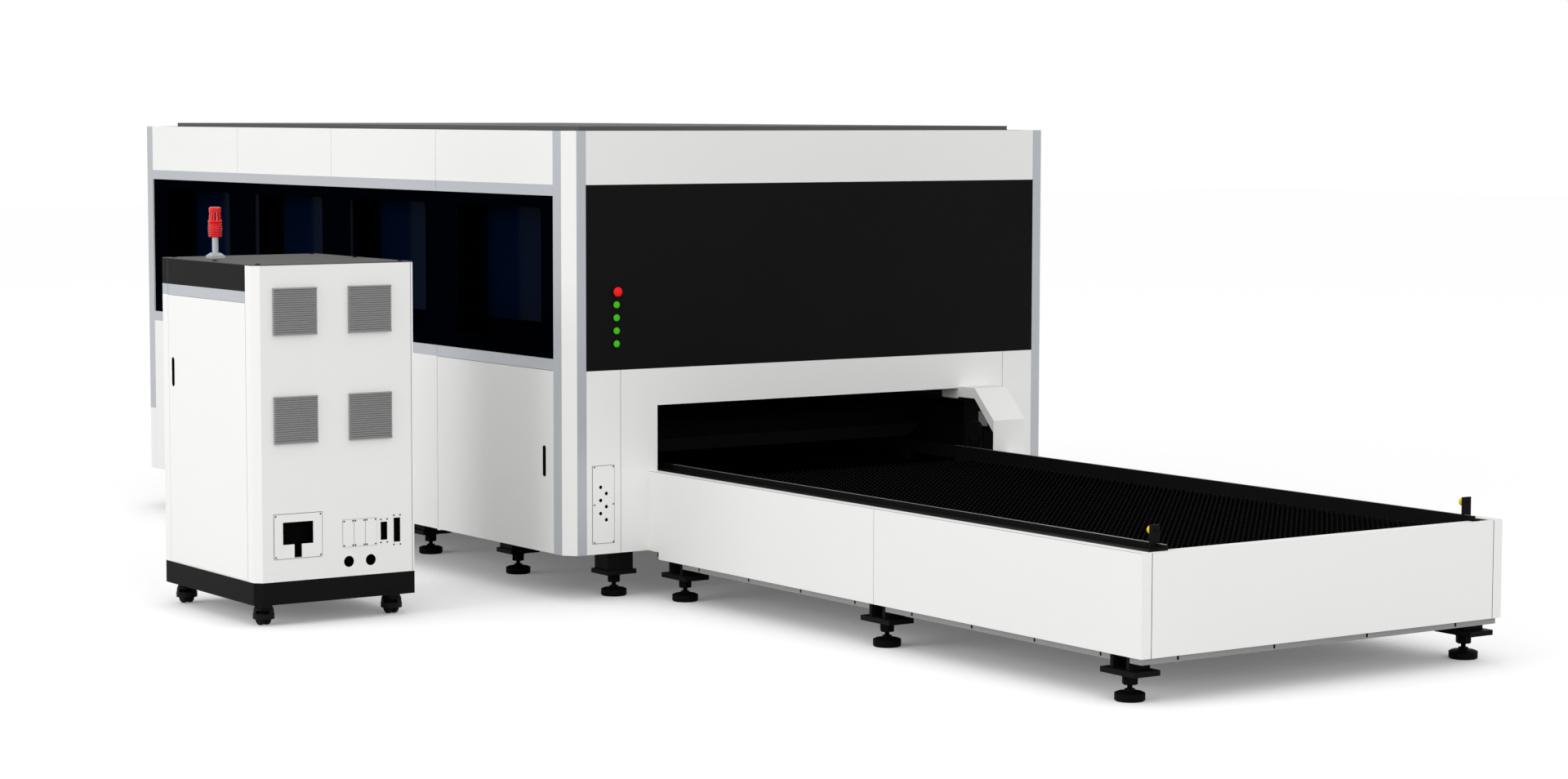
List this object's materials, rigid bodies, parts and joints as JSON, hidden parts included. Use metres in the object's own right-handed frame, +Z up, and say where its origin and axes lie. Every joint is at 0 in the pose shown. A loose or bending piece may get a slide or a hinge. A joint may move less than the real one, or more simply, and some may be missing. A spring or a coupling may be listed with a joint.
{
  "type": "fiber laser cutting machine",
  "caption": "Enclosed flat-sheet fiber laser cutter with windowed side walls, a pallet exchange table running out of one end and a separate control cabinet on castors.",
  "frame": {"origin": "middle of the footprint, on the floor", "axes": "+X along the machine towards the exchange table, +Y away from the operator and the cabinet, +Z up"},
  "size_m": [8.108, 4.235, 2.148],
  "materials": {
    "white_paint": "fine powder coat",
    "black_paint": "satin paint",
    "dark_grey_paint": "satin paint",
    "grey_paint": "satin paint",
    "anodised_aluminium": "satin anodised",
    "bright_steel": "ground",
    "dark_steel": "dark mill scale",
    "dark_window_sheet": "polished",
    "safety_pane": "polished",
    "grey_plastic": "moulded",
    "black_plastic": "moulded",
    "castor_rubber": "smooth",
    "red_plastic": "moulded",
    "red_lens": "moulded, translucent",
    "green_plastic": "moulded",
    "yellow_rubber": "smooth"
  },
  "bodies": {
    "root": {"corner_posts": "white_paint", "fascia_panels": "white_paint", "lower_panels": "white_paint", "portal_panel": "white_paint", "connector_plates": "white_paint", "chain_guard": "white_paint", "table_panels": "white_paint", "cabinet_shell": "white_paint", "black_end_panels": "black_paint", "exchange_motor": "black_paint", "pallet_tracks": "black_paint", "stop_brackets": "black_paint", "foot_brackets": "black_paint", "cabinet_plinth": "black_paint", "table_frame": "black_paint", "enclosure_frame": "black_paint", "bed_frame": "black_paint", "cabinet_cap": "dark_grey_paint", "roof_panels": "grey_paint", "control_gear": "grey_paint", "table_trim": "grey_paint", "trim_strips": "anodised_aluminium", "signal_lamp_stand": "anodised_aluminium", "x_guide_rails": "bright_steel", "hinge_pins": "bright_steel", "exchange_chains": "dark_steel", "levelling_feet": "dark_steel", "window_bands": "dark_window_sheet", "window_panes": "safety_pane", "vent_grilles": "grey_plastic", "button_bezels": "black_plastic", "signal_lamp_lens": "red_lens", "stop_bumpers": "yellow_rubber"},
    "upper_pallet": {"upper_pallet_frame": "dark_steel", "upper_pallet_slats": "dark_steel"},
    "lower_pallet": {"lower_pallet_frame": "dark_steel", "lower_pallet_slats": "dark_steel"},
    "exchange_shaft": {"drive_shaft": "bright_steel"},
    "gantry": {"gantry_beam": "anodised_aluminium", "gantry_drives": "dark_grey_paint"},
    "y_carriage": {"carriage": "white_paint"},
    "z_head": {"z_slide": "bright_steel", "cutting_head": "dark_grey_paint"},
    "machine_door": {"service_door": "white_paint", "service_door_handle": "black_plastic"},
    "electrics_door": {"cabinet_door": "white_paint", "cabinet_door_handle": "black_plastic"},
    "stop_knob": {"emergency_stop": "red_plastic"},
    "green_key_1": {"start_button_1": "green_plastic"},
    "castor_1": {"castor_swivel_1": "black_plastic"},
    "castor_pair_1": {"castor_wheel_1": "castor_rubber"},
    "green_key_2": {"start_button_2": "green_plastic"},
    "castor_2": {"castor_swivel_2": "black_plastic"},
    "castor_pair_2": {"castor_wheel_2": "castor_rubber"},
    "green_key_3": {"start_button_3": "green_plastic"},
    "castor_3": {"castor_swivel_3": "black_plastic"},
    "castor_pair_3": {"castor_wheel_3": "castor_rubber"},
    "green_key_4": {"start_button_4": "green_plastic"},
    "castor_4": {"castor_swivel_4": "black_plastic"},
    "castor_pair_4": {"castor_wheel_4": "castor_rubber"}
  },
  "joints": [
    {"name": "upper_pallet_slide", "type": "slide", "parent": "root", "child": "upper_pallet", "axis": [1, 0, 0], "range_m": [0, 3.621]},
    {"name": "lower_pallet_slide", "type": "slide", "parent": "root", "child": "lower_pallet", "axis": [1, 0, 0], "range_m": [-3.621, 0]},
    {"name": "exchange_shaft_turn", "type": "hinge", "parent": "root", "child": "exchange_shaft", "pos_m": [0.696, 0.7425, 0.3], "axis": [0, 1, 0], "range_deg": [-5, 3812]},
    {"name": "gantry_x", "type": "slide", "parent": "root", "child": "gantry", "axis": [1, 0, 0], "range_m": [0, 3.64]},
    {"name": "carriage_y", "type": "slide", "parent": "gantry", "child": "y_carriage", "axis": [0, 1, 0], "range_m": [-0.75, 0.75]},
    {"name": "head_z", "type": "slide", "parent": "y_carriage", "child": "z_head", "axis": [0, 0, 1], "range_m": [-0.285, 0]},
    {"name": "machine_door_hinge", "type": "hinge", "parent": "root", "child": "machine_door", "pos_m": [-0.6225, -0.6275, 0.63], "axis": [0, 0, -1], "range_deg": [0, 38]},
    {"name": "electrics_door_hinge", "type": "hinge", "parent": "root", "child": "electrics_door", "pos_m": [0.393, -2.1125, 0.8], "axis": [0, 0, 1], "range_deg": [0, 110]},
    {"name": "stop_knob_press", "type": "slide", "parent": "root", "child": "stop_knob", "axis": [-1, 0, 0], "range_m": [0, 0.005], "stiffness_N_per_m": 800},
    {"name": "green_key_1_press", "type": "slide", "parent": "root", "child": "green_key_1", "axis": [-1, 0, 0], "range_m": [0, 0.004], "stiffness_N_per_m": 600},
    {"name": "green_key_2_press", "type": "slide", "parent": "root", "child": "green_key_2", "axis": [-1, 0, 0], "range_m": [0, 0.004], "stiffness_N_per_m": 600},
    {"name": "green_key_3_press", "type": "slide", "parent": "root", "child": "green_key_3", "axis": [-1, 0, 0], "range_m": [0, 0.004], "stiffness_N_per_m": 600},
    {"name": "green_key_4_press", "type": "slide", "parent": "root", "child": "green_key_4", "axis": [-1, 0, 0], "range_m": [0, 0.004], "stiffness_N_per_m": 600},
    {"name": "castor_1_swivel", "type": "hinge", "parent": "root", "child": "castor_1", "pos_m": [-0.383, -2.0455, 0.06], "axis": [0, 0, 1], "continuous": true},
    {"name": "castor_1_roll", "type": "hinge", "parent": "castor_1", "child": "castor_pair_1", "pos_m": [-0.399, -2.0455, 0.031], "axis": [0, 1, 0], "continuous": true},
    {"name": "castor_2_swivel", "type": "hinge", "parent": "root", "child": "castor_2", "pos_m": [-0.383, -1.4265, 0.06], "axis": [0, 0, 1], "continuous": true},
    {"name": "castor_2_roll", "type": "hinge", "parent": "castor_2", "child": "castor_pair_2", "pos_m": [-0.399, -1.4265, 0.031], "axis": [0, 1, 0], "continuous": true},
    {"name": "castor_3_swivel", "type": "hinge", "parent": "root", "child": "castor_3", "pos_m": [0.411, -2.0455, 0.06], "axis": [0, 0, 1], "continuous": true},
    {"name": "castor_3_roll", "type": "hinge", "parent": "castor_3", "child": "castor_pair_3", "pos_m": [0.395, -2.0455, 0.031], "axis": [0, 1, 0], "continuous": true},
    {"name": "castor_4_swivel", "type": "hinge", "parent": "root", "child": "castor_4", "pos_m": [0.411, -1.4265, 0.06], "axis": [0, 0, 1], "continuous": true},
    {"name": "castor_4_roll", "type": "hinge", "parent": "castor_4", "child": "castor_pair_4", "pos_m": [0.395, -1.4265, 0.031], "axis": [0, 1, 0], "continuous": true}
  ],
  "couplings": [
    {"joint": "lower_pallet_slide", "follows": "upper_pallet_slide", "ratio": -1},
    {"joint": "exchange_shaft_turn", "follows": "upper_pallet_slide", "rad_per_m": 18.349}
  ]
}
